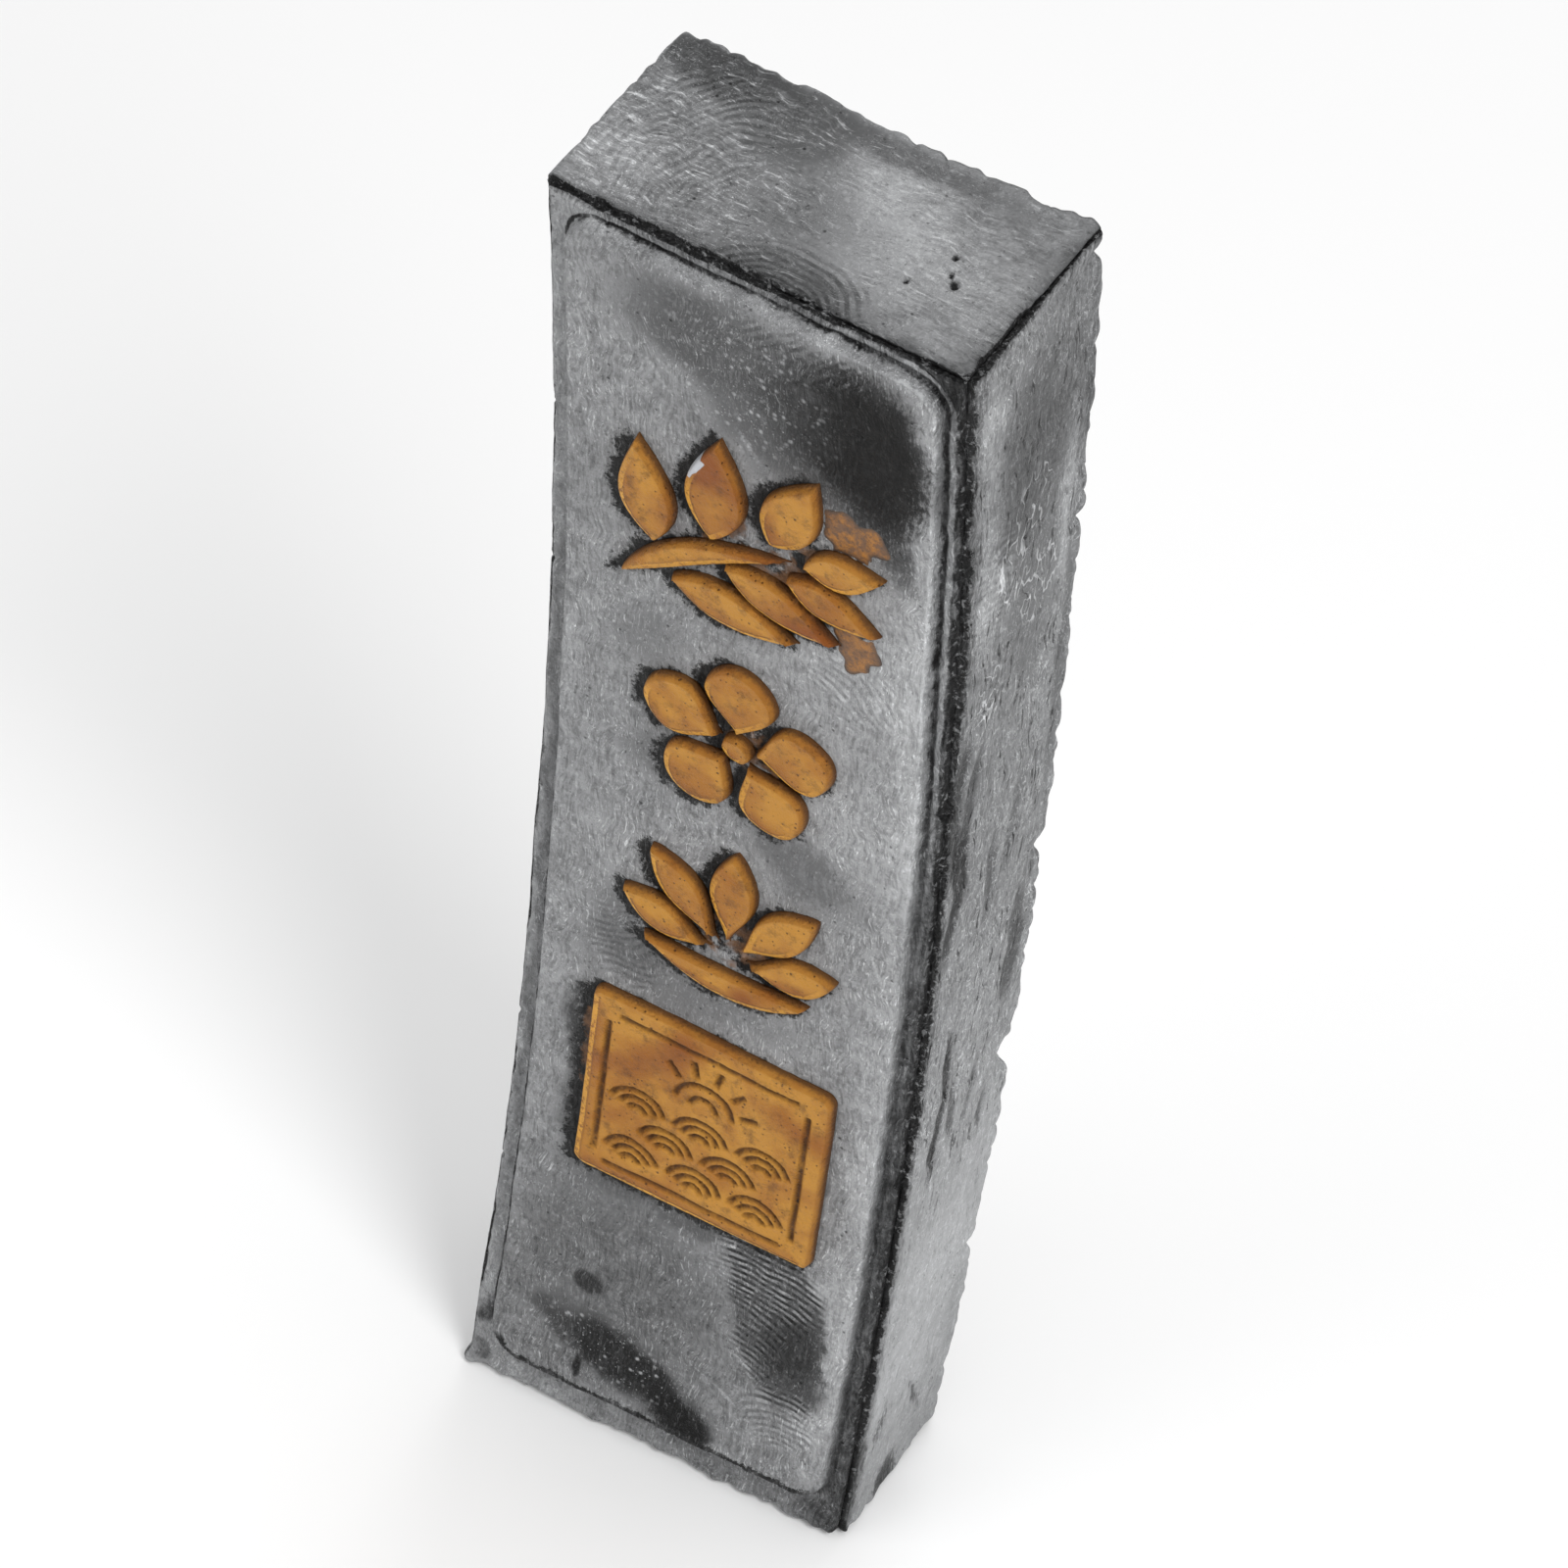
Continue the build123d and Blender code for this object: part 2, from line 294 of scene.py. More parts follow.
def noise(points, cell, seed):
    """Smooth noise from -1 to 1 at each point, with bumps about one cell wide."""
    table = np.random.default_rng(seed).uniform(-1, 1, (64, 64, 64))
    scaled = points / cell + 100.37
    base = np.floor(scaled).astype(int)
    t = scaled - base
    t = t * t * (3 - 2 * t)
    total = np.zeros(len(points))
    for corner in product((0, 1), repeat=3):
        side = np.array(corner)
        weight = np.prod(np.where(side, t, 1 - t), axis=1)
        i, j, k = ((base + side) % 64).T
        total += weight * table[i, j, k]
    return total


def layered(points, cell, seed, layers=3):
    """Noise with finer and weaker layers added, still about -1 to 1."""
    total = sum(0.5**n * noise(points, cell * 0.5**n, seed + n) for n in range(layers))
    return total / (2 - 0.5 ** (layers - 1)) * 1.5


def ramp(value, low, high):
    """0 below low, 1 above high, and smooth between them."""
    t = np.clip((value - low) / (high - low), 0, 1)
    return t * t * (3 - 2 * t)


def bell(distance, reach):
    """1 at no distance, fading smoothly to nothing at about twice the reach."""
    return np.exp(-((distance / reach) ** 2))


def toward(value, target, weight):
    """The value moved towards a target by a weight from 0 to 1."""
    return value + (target - value) * weight


def joined(first, second):
    """Two covers, each from 0 to 1, laid one over the other."""
    return 1 - (1 - first) * (1 - second)


def curl(points):
    """Points on the straight stick, in millimetres, moved onto the curled one, in metres."""
    x, y, s = points.T
    turn = s / BOW_RADIUS
    twist = TWIST * (0.5 - s / LENGTH) - BOW_HEADING
    flat_x = x * np.cos(twist) - y * np.sin(twist)
    flat_y = x * np.sin(twist) + y * np.cos(twist)
    bent_y = (flat_y + BOW_RADIUS) * np.cos(turn) - BOW_RADIUS
    bent_z = (flat_y + BOW_RADIUS) * np.sin(turn)
    cosine, sine = math.cos(BOW_HEADING), math.sin(BOW_HEADING)
    curled_x = flat_x * cosine - bent_y * sine
    curled_y = flat_x * sine + bent_y * cosine
    return np.stack([curled_x, curled_y, bent_z], axis=1) * MM


def uncurl(points):
    """The way back: points in metres on the curled stick, as millimetres on the straight one."""
    x, y, z = points.T / MM
    cosine, sine = math.cos(BOW_HEADING), math.sin(BOW_HEADING)
    flat_x = x * cosine + y * sine
    bent_y = y * cosine - x * sine
    flat_y = np.hypot(bent_y + BOW_RADIUS, z) - BOW_RADIUS
    s = np.arctan2(z, bent_y + BOW_RADIUS) * BOW_RADIUS
    twist = TWIST * (0.5 - s / LENGTH) - BOW_HEADING
    straight_x = flat_x * np.cos(twist) + flat_y * np.sin(twist)
    straight_y = flat_y * np.cos(twist) - flat_x * np.sin(twist)
    return np.stack([straight_x, straight_y, s], axis=1)


# ---- the painted strokes' outlines

def border_edges(faces):
    """The edges that only one of the faces has, each running the way that its face does."""
    borders = {}
    for ring in faces:
        for start, end in zip(ring, ring[1:] + ring[:1]):
            if (end, start) in borders:
                del borders[(end, start)]
            else:
                borders[(start, end)] = True
    return list(borders)


def top_loops(node):
    """The outlines of a paint film's top face, largest first, as closed runs of (x, s)."""
    mesh = node.data
    places = uncurl(np.array([v.co for v in mesh.vertices], float))
    keys = [tuple(np.round(p, 3)) for p in places]
    tops = []
    for face in mesh.polygons:
        a, b, c = (places[i] for i in face.vertices[:3])
        normal = np.cross(b - a, c - a)
        size = np.linalg.norm(normal)
        if size > 0 and normal[1] / size <= -0.9:
            tops.append([keys[i] for i in face.vertices])
    following = dict(border_edges(tops))
    loops = []
    while following:
        start, end = following.popitem()
        loop = [start]
        while end != start and end in following:
            loop.append(end)
            end = following.pop(end)
        if len(loop) > 2:
            loops.append(np.array([(p[0], p[2]) for p in loop]))
    return sorted(loops, key=lambda loop: -np.ptp(loop[:, 0]) * np.ptp(loop[:, 1]))


def inside_distance(loops, places):
    """How far each (x, s) place is inside the loops, in millimetres, negative outside."""
    nearest = np.full(len(places), np.inf)
    crossings = np.zeros(len(places), int)
    px, ps = places.T
    for loop in loops:
        for (x0, s0), (x1, s1) in zip(loop, np.roll(loop, -1, axis=0)):
            dx, ds = x1 - x0, s1 - s0
            along = ((px - x0) * dx + (ps - s0) * ds) / max(dx * dx + ds * ds, 1e-12)
            t = np.clip(along, 0, 1)
            nearest = np.minimum(nearest, np.hypot(px - x0 - t * dx, ps - s0 - t * ds))
            if ds:
                spans = (s0 > ps) != (s1 > ps)
                crossings += spans & (px < x0 + (ps - s0) * dx / ds)
    return np.where(crossings % 2 == 1, nearest, -nearest)


# ---- shapes on a face

def unevenness(points):
    """How far the pressed and dried surface waves in and out, in millimetres."""
    return 0.08 * layered(points, 9.0, 11, 2) + 0.03 * layered(points, 2.2, 21, 3)


def blob(u, v, centre, radii, tilt=0.0, soft=0.5):
    """1 inside an ellipse, 0 outside. The soft part of its radius fades out."""
    turn = math.radians(tilt)
    du, dv = u - centre[0], v - centre[1]
    a = (du * math.cos(turn) + dv * math.sin(turn)) / radii[0]
    b = (dv * math.cos(turn) - du * math.sin(turn)) / radii[1]
    return 1 - ramp(np.hypot(a, b), 1 - soft, 1 + soft)


def line_mark(u, v, start, end, width):
    """1 on a thin line from start to end, 0 away from it. It tapers to its ends."""
    du, dv = end[0] - start[0], end[1] - start[1]
    t = np.clip(((u - start[0]) * du + (v - start[1]) * dv) / (du * du + dv * dv), 0, 1)
    gap = np.hypot(u - start[0] - t * du, v - start[1] - t * dv)
    taper = np.sqrt(np.clip(4 * t * (1 - t), 0.05, 1))
    return bell(gap, width * taper)


def panel_inset(x, s):
    """How far a place on the face is inside the panel's outline, negative outside."""
    middle = (PANEL_TOP + PANEL_BOTTOM) / 2
    reach = (PANEL_TOP - PANEL_BOTTOM) / 2
    across = np.abs(x) - PANEL_HALF_WIDTH + PANEL_CORNER
    along = np.abs(s - middle) - reach + PANEL_CORNER
    outside = np.hypot(np.maximum(across, 0), np.maximum(along, 0))
    return PANEL_CORNER - outside - np.minimum(np.maximum(across, along), 0)


# ---- the block

def grid_lines(start, *runs):
    """Grid positions from start on. Each run is its end and its spacing."""
    places = [start]
    for end, spacing in runs:
        count = max(1, round((end - places[-1]) / spacing))
        places.extend(np.linspace(places[-1], end, count + 1)[1:])
    return np.array(places)


def box_shell(xs, ys, zs):
    """Points and four-sided faces of a closed box whose sides are gridded by the given lines."""
    sizes = (len(xs), len(ys), len(zs))
    sides = []
    for axis, far in product(range(3), (False, True)):
        first, second = (a for a in range(3) if a != axis)
        index = [None] * 3
        index[first], index[second] = np.indices((sizes[first], sizes[second]))
        index[axis] = np.full_like(index[first], sizes[axis] - 1 if far else 0)
        key = np.ravel_multi_index(tuple(index), sizes)
        quads = np.stack([key[:-1, :-1], key[1:, :-1], key[1:, 1:], key[:-1, 1:]], axis=-1)
        if far == (axis == 1):
            quads = quads[..., ::-1]
        sides.append(quads.reshape(-1, 4))
    used, faces = np.unique(np.concatenate(sides), return_inverse=True)
    i, j, k = np.unravel_index(used, sizes)
    return np.stack([xs[i], ys[j], zs[k]], axis=1), faces.reshape(-1, 4)


def block_grid():
    """The plain box that the block is shaped from."""
    half = THICKNESS / 2
    xs = grid_lines(-WIDTH / 2, (EDGE_BAND - WIDTH / 2, FINE), (FINE_X, COARSE), (WIDTH / 2, FINE))
    ys = grid_lines(-half, (THIN_EDGE_BAND - half, FINE), (half - THIN_EDGE_BAND, COARSE), (half, FINE))
    zs = grid_lines(0, (FINE_TOP, FINE), (LENGTH - EDGE_BAND, COARSE), (LENGTH, FINE))
    return box_shell(xs, ys, zs)


def rounded(points):
    """Box points pulled onto rounded edges, and the way out of the box at each."""
    low = np.array([-WIDTH / 2, -THICKNESS / 2, 0.0]) + EDGE_RADIUS
    high = np.array([WIDTH / 2, THICKNESS / 2, LENGTH]) - EDGE_RADIUS
    core = np.clip(points, low, high)
    out = points - core
    out /= np.linalg.norm(out, axis=1)[:, None]
    return core + out * EDGE_RADIUS, out


def side_gap(box, axis, way):
    """How far each point of the box is from the side that faces that way along the axis."""
    return (way * box[:, axis]).max() - way * box[:, axis]


def block_surface(films):
    """The whole block's points and faces on the straight stick, and the fields of its material."""
    box, faces = block_grid()
    points, out = rounded(box)
    x, _, s = box.T
    to = {side: side_gap(box, axis, way) for side, (axis, way) in SIDES.items()}
    face = {side: ramp(way * out[:, axis], 0.6, 0.95) for side, (axis, way) in SIDES.items()}
    panels = face["front"] + face["back"]
    inset = panel_inset(x, s) + 0.05 * layered(box, 1.3, 41, 2)
    plateau = ramp(inset, 0, PANEL_WALL) * panels
    ledge = np.clip(panels - plateau, 0, 1)
    block = SimpleNamespace(box=box, to=to, face=face, inset=inset, plateau=plateau, ledge=ledge)

    seam, seam_gap = seams(box, to)
    pads, lee, beside = film_fields(films, x, s)
    fields, lift = painted(block)
    lift += unevenness(box) + 0.02 * noise(box, 0.5, 51)
    lift += PANEL_HEIGHT * plateau - SEAM_DEPTH * seam + flash(box, to)
    lift += ledge * (0.04 * noise(box, 0.8, 61) + 0.02 * noise(box, 0.35, 62))
    lift -= PORE_DEPTH * ramp(noise(box, 0.7, 71), 0.72, 0.9)
    lift += face["front"] * (RELIEF - PAD_CLEARANCE) * pads
    lift -= face["front"] * LEE_DEPTH * ramp(lee, -0.4, 0.1) * ramp(beside, -0.2, 0.1)

    spread = sum(blob(x, s, middle, reach, 0, 0.4) for middle, reach in SPILLS)
    dry = SPILL_FADE * (1 - np.clip(spread, 0, 1))
    fields["inset"] = np.where(panels > 0, inset, FAR)
    fields["seam_gap"] = seam_gap
    # The ink's material paints this lee, down and left of each stroke, dark as shadow and grime.
    fields["lee"] = np.where(face["front"] > 0, lee, -FAR)
    fields["spill"] = np.where(face["front"] > 0, beside + dry, FAR)
    return points + out * lift[:, None], faces.tolist(), fields


def seams(box, to):
    """How deep each point is in a mould seam's groove, from 0 to 1, and how far it is from the
    nearest one, in that groove's own size."""
    lowest, highest = box.min(axis=0), box.max(axis=0)
    step = ramp(noise(box, 2.4, 31), -0.08, 0.08) - 0.5
    ragged = SEAM_STEP * step + 0.06 * noise(box, 0.7, 32)
    groove = np.zeros(len(box))
    nearest = np.full(len(box), FAR)
    for a, b, axis, start, end in SEAMS:
        size = np.interp(box[:, axis], (lowest[axis], highest[axis]), (start, end))
        gap = (np.maximum(to[a], to[b]) + ragged) / size
        inside = 1 - ramp(gap, 0.3 * SEAM_WIDTH, SEAM_WIDTH)
        groove = np.maximum(groove, np.minimum(size, 1) * inside)
        nearest = np.minimum(nearest, gap)
    return groove, nearest


def flash(box, to):
    """How far the ragged, scalloped flash on the back and bottom edges stands out, with nicks."""
    s = box[:, 2]
    scallop = np.sqrt(np.abs(noise(box, 1.5, 81))) * (0.75 + 0.4 * noise(box, 5.0, 82))
    scallop += 0.25 * noise(box, 0.5, 83)
    lift = np.zeros(len(box))
    for a, b, height in FLASHES:
        lift = np.maximum(lift, height * scallop * bell(np.maximum(to[a], to[b]), FLASH_WIDTH))
    corner = bell(np.maximum(to["back"], to["right"]), NICK_WIDTH)
    for place, reach, depth in NICKS:
        lift -= depth * bell(s - place, reach) * corner
    point = np.hypot(to["left"], np.hypot(to["front"], to["bottom"]))
    return lift + CORNER_FLASH * bell(point, 0.6)


def film_fields(films, x, s):
    """How far each place on the face is raised as a pad, from 0 to 1, how far inside the lee of
    a stroke it is, and how far outside the nearest stroke, in millimetres."""
    pads = np.zeros(len(x))
    lee = np.full(len(x), -FAR)
    beside = np.full(len(x), FAR)
    for name, (outer, *_) in films.items():
        low = outer.min(axis=0) - STROKE_MARGIN
        high = outer.max(axis=0) + STROKE_MARGIN
        near = np.where((x > low[0]) & (x < high[0]) & (s > low[1]) & (s < high[1]))[0]
        places = np.stack([x[near], s[near]], axis=1)
        depth = inside_distance([outer], places)
        beside[near] = np.minimum(beside[near], -depth)
        if name not in SMEARS:
            pads[near] = np.maximum(pads[near], ramp(depth, 0.2, 0.6))
            lee[near] = np.maximum(lee[near], inside_distance([outer], places + LEE_SHIFT))
    return pads, lee, beside


# ---- the block's tones

def smudged(tone, u, v, smudges, shifts):
    """A face's clean tone, shifted lighter and darker, how far grime and painted shadow cover each place,
    and their tone there.
    """
    dirt_and_shade = np.zeros(len(u))
    dark = np.full(len(u), SMUDGE_GREY)
    for centre, radii, tilt, shift in shifts:
        tone = tone + shift * blob(u, v, centre, radii, tilt, 0.6)
    for centre, radii, tilt, grey, strength in smudges:
        weight = strength * blob(u, v, centre, radii, tilt, SMUDGE_SOFT)
        dark = toward(dark, grey, weight)
        dirt_and_shade = joined(dirt_and_shade, weight)
    return np.stack([tone, dirt_and_shade, dark])


def face_tones(block, wx, wy, ws):
    """The tone, how far grime and painted shade cover each place, and their tone, all over, with painted
    light on the ledge, the panel's rims, the front and the right side, at places that wander from the
    true x, y and s.
    """
    box, face = block.box, block.face
    x, _, s = box.T
    fleck = layered(box, 0.9, 111, 3)
    clean = CLEAN_GREY + 0.045 * layered(box, 6.0, 101, 3) + 0.02 * fleck
    plain_dirt = 0.8 * ramp(noise(box, 7.5, 131), 0.0, 0.7)
    tones = np.stack([clean, plain_dirt, np.full(len(box), SMUDGE_GREY)])
    heights, greys = zip(*SIDE_GREY_AND_LIGHT)
    side = clean - 0.55 + np.interp(s, heights, greys)
    tones = toward(tones, smudged(clean, wx, ws, FRONT_SMUDGES_AND_SHADOWS, FRONT_SHIFTS_AND_SHEEN), face["front"])
    tones = toward(tones, smudged(side, wy, ws, SIDE_SMUDGES, SIDE_SHIFTS), face["right"])
    tones = toward(tones, smudged(clean - 0.05, wx, wy, TOP_SMUDGES, TOP_SHIFTS), face["top"])
    tone, dirt_and_shade, dark = tones

    # The ledge round the panel has its own grey: lighter on the left, as painted light against the shade
    # that the low ledge is in, and darker to the right, most low down and at the top right corner. The
    # panel's rims are lighter, from wear and a painted highlight, much stronger on the right.
    ledge_grey_and_light = np.interp(x, (-10, 8, 10.5), (0.58, 0.46, 0.4))
    ledge_grey_and_light -= 0.12 * ramp(x, 8, 10.5) * ramp(s, 62, 24) + 0.3 * ramp(x, 9, 10.8) * ramp(s, 82, 85.5)
    ledge_grey_and_light += 0.05 * fleck + 0.04 * noise(box, 3.0, 142)
    tone = toward(tone, ledge_grey_and_light, block.ledge)
    rim_wear_and_highlight = np.exp(-np.maximum(block.inset - 0.2, 0) / 0.8) * block.plateau * ramp(s, 4.0, 16.0)
    rim_wear_and_highlight *= (0.6 + 0.4 * noise(box, 2.6, 141)) * np.where(x > 0, 1.0, 0.35)
    return tone + 0.09 * rim_wear_and_highlight, dirt_and_shade, dark


def finger_prints(block, wander):
    """The phase of the ridges at each point, and how strongly they show."""
    phase = np.zeros(len(block.box))
    shown = np.zeros(len(block.box))
    warp = 0.5 * noise(block.box, 2.6, 181) + 0.12 * noise(block.box, 0.9, 182)
    for side, focus, centre, radii, tilt, strength in PRINTS:
        u, v = np.delete(block.box, SIDES[side][0], axis=1).T
        here = blob(u + wander[0], v + wander[1], centre, radii, tilt, 0.25) * block.face[side] * strength
        turns = 2 * math.pi / RIDGE * (np.hypot(u - focus[0], v - focus[1]) + warp)
        phase = np.where(here > shown, turns, phase)
        shown = np.maximum(shown, here)
    return phase, shown


def painted(block):
    """The fields that the ink's material reads, and how far its marks move the surface."""
    box, face, to = block.box, block.face, block.to
    x, y, s = box.T
    wander = 0.55 * np.stack([noise(box, 1.7, 121), noise(box, 1.7, 122)])
    wander += 0.2 * np.stack([noise(box, 0.6, 123), noise(box, 0.6, 124)])
    wx, wy, ws = x + wander[0], y + 0.6 * wander[1], s + wander[1]
    tone, dirt_and_shade, dark = face_tones(block, wx, wy, ws)
    ridge, ridges = finger_prints(block, wander)
    lift = RIDGE_HEIGHT * ridges * np.sin(ridge)

    # The dark smudge that the large finger print is in, and crisper spots
    big = blob(wx, s, (5.9, 14.6), (3.0, 6.8), 12, 0.18) * face["front"]
    dark = toward(dark, 0.24, 0.8 * big * (1 - dirt_and_shade))
    dirt_and_shade = joined(dirt_and_shade, 0.72 * big)
    for centre, radii, grey in SPOTS:
        spot = blob(x + 0.25 * wander[0], s + 0.25 * wander[1], centre, radii, 0, 0.25) * face["front"]
        dark = toward(dark, grey, spot)
        dirt_and_shade = joined(dirt_and_shade, spot)

    # Gouges, pits and scratches
    for centre, radii, tilt, grey, strength in SIDE_SMUDGES:
        if radii[0] < 1:
            lift -= GOUGE_DEPTH * strength * blob(wy, ws, centre, radii, tilt, 0.4) * face["right"]
    for centre, radius in PITS:
        pit = blob(x + 0.3 * wander[0], y, centre, (radius, radius * 1.5), 35, 0.4) * face["top"]
        lift -= PIT_DEPTH * pit
        dark = toward(dark, 0.1, pit)
        dirt_and_shade = np.maximum(dirt_and_shade, pit)
    for start, end, width, depth in scratches():
        cut = depth * line_mark(x, s, start, end, width) * face["front"] * block.plateau
        lift -= cut
        tone = tone + SCRATCH_LIGHTENS * cut

    # Painted shade and grime on the top end beside its seams
    beside_seam = np.maximum(np.minimum(to["front"], to["right"]), to["top"])
    seam_shade_and_grime = bell(beside_seam, 1.1) * (0.6 + 0.4 * noise(box, 1.4, 33)) * face["top"]
    dark = toward(dark, 0.2, seam_shade_and_grime * (1 - dirt_and_shade))
    dirt_and_shade = joined(dirt_and_shade, 0.75 * seam_shade_and_grime)

    right_streaks = face["right"] * np.interp(s, (20, 30, 62, 70), (0.3, 1.0, 1.0, 0.6))
    highlight_specks = sum(strength * blob(x, s, *place) for *place, strength in SPECKLED_HIGHLIGHTS)
    wrinkled = sum(blob(y, s, middle, reach, 0, 0.5) for middle, reach in WRINKLES)
    fields = {
        "tone": np.clip(tone, 0.03, 0.95),
        "dirt_and_shade": dirt_and_shade,
        "dark": dark,
        "ridge": ridge,
        "ridges": ridges,
        "highlight_specks": highlight_specks * face["front"] + 0.15,
        "rough": block.ledge,
        "streaky": right_streaks + 0.6 * face["left"] + 0.25 * face["back"],
        "calm": face["right"] * ramp(s, 30, 20) + 0.5 * face["top"] * ramp(x, -4, 2),
        "ends": face["top"] + face["bottom"],
        "wrinkled": wrinkled * face["right"],
    }
    return fields, lift


def scratches():
    """Hair scratches that run down the face, mostly just under the dark smudge at its top."""
    rng = np.random.default_rng(5)
    found = []
    for (left, right, bottom, top), count, slant in SCRATCH_AREAS:
        for _ in range(count):
            x = rng.uniform(left, right)
            s = rng.uniform(bottom, top)
            turn = math.radians(slant + rng.normal(0, 9))
            length = rng.uniform(0.8, 3.2)
            end = (x + length * math.cos(turn), s + length * math.sin(turn))
            found.append(((x, s), end, rng.uniform(0.06, 0.11), rng.uniform(0.015, 0.05)))
    return found


# ---- the gold paint

def chipped_area(x, s):
    """1 on the small four-sided place where the paint has chipped off, 0 away from it."""
    turn = math.radians(CHIP_TILT)
    dx, ds = x - CHIP_AT[0], s - CHIP_AT[1]
    along = dx * math.cos(turn) + ds * math.sin(turn)
    beside = ds * math.cos(turn) - dx * math.sin(turn) + 0.15 * along
    reach = np.maximum(np.abs(along) / CHIP_SIZE[0], np.abs(beside) / CHIP_SIZE[1])
    return ramp(reach, 1.2, 0.8)


def film_points(outer):
    """Points on an outline, and points on rings just inside it and on a jittered lattice."""
    rim = []
    for a, b in zip(outer, np.roll(outer, -1, axis=0)):
        steps = max(1, round(np.hypot(*(b - a)) / PAINT_POINT))
        rim.extend(a + (b - a) * t for t in np.arange(steps) / steps)
    rim = np.array(rim)
    along = np.roll(rim, -1, axis=0) - np.roll(rim, 1, axis=0)
    inward = np.stack([-along[:, 1], along[:, 0]], axis=1) / np.linalg.norm(along, axis=1)[:, None]
    if inside_distance([rim], rim + inward * 0.02).mean() < 0:
        inward = -inward
    groups = []
    for reach in RINGS:
        ring = rim + inward * reach
        groups.append(ring[inside_distance([rim], ring) > 0.96 * reach])

    low, high = outer.min(axis=0), outer.max(axis=0)
    lattice = []
    for n, row in enumerate(np.arange(low[1], high[1], PAINT_POINT * ROW_STEP)):
        across = np.arange(low[0] + PAINT_POINT / 2 * (n % 2), high[0], PAINT_POINT)
        lattice.append(np.stack([across, np.full_like(across, row)], axis=1))
    lattice = np.concatenate(lattice)
    lattice += np.random.default_rng(len(rim)).uniform(-0.1, 0.1, lattice.shape) * PAINT_POINT
    groups.append(lattice[inside_distance([rim], lattice) > RINGS[-1] + 0.6 * PAINT_POINT])
    return rim, np.concatenate(groups)


def filled(rim, inner):
    """The points joined into triangles that fill the rim, all running the same way round."""
    edges = [(i, (i + 1) % len(rim)) for i in range(len(rim))]
    corners = [Vector(p) for p in np.concatenate([rim, inner])]
    found = delaunay_2d_cdt(corners, edges, [], 0, 1e-5)
    flat = np.array([tuple(p) for p in found[0]])
    triangles = np.array(found[2])
    triangles = triangles[inside_distance([rim], flat[triangles].mean(axis=1)) > 0]
    a, b, c = flat[triangles].transpose(1, 0, 2)
    backward = np.cross(b - a, c - a) < 0
    triangles[backward] = triangles[backward][:, ::-1]
    return flat, triangles


def film_heights(name, place, depth, faces_down, cut):
    """How high a film's face and its underside stand over the panel, in millimetres."""
    if name in SMEARS:
        height = SMEAR_HEIGHT * ramp(depth, 0, 0.3) * (0.7 + 0.5 * noise(place, 0.7, 201))
        return height, np.full(len(place), SMEAR_UNDERSIDE)
    wall = PAINT_WALL * (1 + 0.15 * noise(place, 1.6, 202))
    bevel = BEVEL * faces_down
    height = (1 - bevel) * ramp(depth, -0.06, wall) + bevel * ramp(depth, 0.12, 0.55)
    height = (RELIEF + PAINT) * ((1 - DOME) * height + DOME * ramp(depth, 0.1, 1.3))
    bumps = 0.045 * layered(place, 1.7, 203, 2) + 0.012 * noise(place, 0.45, 206)
    height += bumps * ramp(depth, 0.2, 0.5)
    height -= GROOVE_DEPTH * cut * (0.75 + 0.35 * noise(place, 0.8, 205))
    return height, toward(-PAINT, np.maximum(height - PAINT, -PAINT), ramp(depth, 0.0, 0.15))


def film_mesh(name, loops):
    """A closed sheet of paint over its raised stroke, and the fields that its material reads."""
    outer, *grooves = loops
    rim, inner = film_points(outer)
    flat, triangles = filled(rim, inner)
    x, s = flat.T
    depth = np.maximum(inside_distance([rim], flat), 0)
    away = inside_distance([rim], flat + LOWER_SIDE * SLOPE_STEP)
    faces_down = np.clip((depth - away) / SLOPE_STEP, 0, 1)
    cut = np.zeros(len(flat))
    for groove in grooves:
        cut = np.maximum(cut, ramp(inside_distance([groove], flat), -0.06, 0.12))

    place = np.stack([x, np.full_like(x, -THICKNESS / 2), s], axis=1)
    height, under = film_heights(name, place, depth, faces_down, cut)
    lift = SURFACE + unevenness(place)
    upper = np.stack([x, -(lift + height), s], axis=1)
    lower = np.stack([x, -(lift + np.minimum(under, height - 0.01)), s], axis=1)
    count = len(flat)
    walls = [(b, a, a + count, b + count) for a, b in border_edges(triangles.tolist())]
    faces = triangles.tolist() + (triangles[:, ::-1] + count).tolist() + walls
    fields = {
        "depth": np.tile(depth, 2),
        "lower": np.tile(faces_down, 2),
        "chip": np.tile(chipped_area(x, s), 2),
        "groove": np.tile(cut, 2),
    }
    return np.concatenate([upper, lower]), faces, fields


# ---- making objects

def build(name, node, shape, material):
    """Makes the piece that stands for a CAD node. Its shape is its points on the straight stick,
    its faces and its fields, which become attributes."""
    points, faces, fields = shape
    mesh = bpy.data.meshes.new(name)
    mesh.from_pydata(curl(points).tolist(), [], faces)
    mesh.update()
    mesh.polygons.foreach_set("use_smooth", [True] * len(mesh.polygons))
    for key, values in fields.items():
        layer = mesh.attributes.new(key, "FLOAT", "POINT")
        layer.data.foreach_set("value", np.asarray(values, np.float32))
    layer = mesh.attributes.new("straight", "FLOAT_VECTOR", "POINT")
    layer.data.foreach_set("vector", points.astype(np.float32).ravel())
    mesh.materials.append(material)
    piece = bpy.data.objects.new(name, mesh)
    bpy.context.collection.objects.link(piece)
    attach(piece, "root")
    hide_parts(node)


# ---- materials

